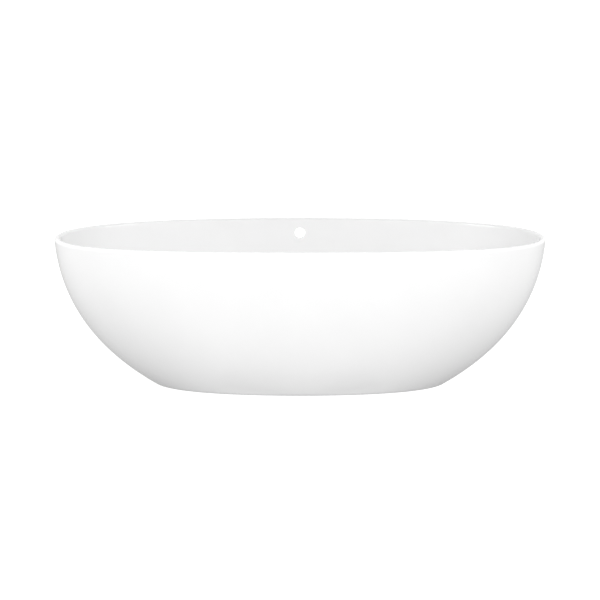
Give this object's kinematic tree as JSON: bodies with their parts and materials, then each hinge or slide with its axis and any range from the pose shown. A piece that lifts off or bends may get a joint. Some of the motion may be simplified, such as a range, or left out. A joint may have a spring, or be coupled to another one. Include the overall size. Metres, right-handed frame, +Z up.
{
  "type": "freestanding bathtub",
  "caption": "Freestanding double-ended oval bath with a full-round rim, skirt to the floor, bare overflow hole, push-plug waste and levelling feet.",
  "frame": {"origin": "on the floor under the middle of the bath", "axes": "+X along the bath, +Y towards the wall with the overflow hole, +Z up"},
  "size_m": [1.9, 0.85, 0.572],
  "materials": {
    "white_gel_coat": "gloss",
    "brass": "satin",
    "zinc_steel": "satin",
    "spring_steel": "satin",
    "chrome": "polished",
    "foam_rubber": "matte",
    "black_rubber": "matte",
    "natural_nylon": "satin",
    "black_nylon": "matte"
  },
  "bodies": {
    "bath": {"bath_shell": "white_gel_coat", "foot_inserts": "brass", "foot_lock_nuts": "zinc_steel", "waste_body": "chrome", "waste_flange_gasket": "foam_rubber", "waste_under_seal": "black_rubber", "waste_slip_washer": "natural_nylon", "waste_back_nut": "brass", "cartridge_sleeve": "brass", "cartridge_bush": "natural_nylon", "cartridge_spring": "spring_steel"},
    "plug": {"plug_stem": "brass", "plug_cap": "chrome", "plug_seal": "black_rubber"},
    "foot_front_left": {"foot_front_left_stud": "zinc_steel", "foot_front_left_pad": "black_nylon", "foot_front_left_sole": "black_rubber"},
    "foot_front_right": {"foot_front_right_stud": "zinc_steel", "foot_front_right_pad": "black_nylon", "foot_front_right_sole": "black_rubber"},
    "foot_back_right": {"foot_back_right_stud": "zinc_steel", "foot_back_right_pad": "black_nylon", "foot_back_right_sole": "black_rubber"},
    "foot_back_left": {"foot_back_left_stud": "zinc_steel", "foot_back_left_pad": "black_nylon", "foot_back_left_sole": "black_rubber"}
  },
  "joints": [
    {"name": "plug_press", "type": "slide", "parent": "bath", "child": "plug", "axis": [0, 0, 1], "range_m": [-0.009, 0], "stiffness_N_per_m": 500, "springref_m": 0.008, "deforming": ["cartridge_spring"]},
    {"name": "foot_front_left_wind", "type": "slide", "parent": "bath", "child": "foot_front_left", "axis": [0, 0, 1], "range_m": [-0.012, 0.006]},
    {"name": "foot_front_right_wind", "type": "slide", "parent": "bath", "child": "foot_front_right", "axis": [0, 0, 1], "range_m": [-0.012, 0.006]},
    {"name": "foot_back_right_wind", "type": "slide", "parent": "bath", "child": "foot_back_right", "axis": [0, 0, 1], "range_m": [-0.012, 0.006]},
    {"name": "foot_back_left_wind", "type": "slide", "parent": "bath", "child": "foot_back_left", "axis": [0, 0, 1], "range_m": [-0.012, 0.006]}
  ]
}
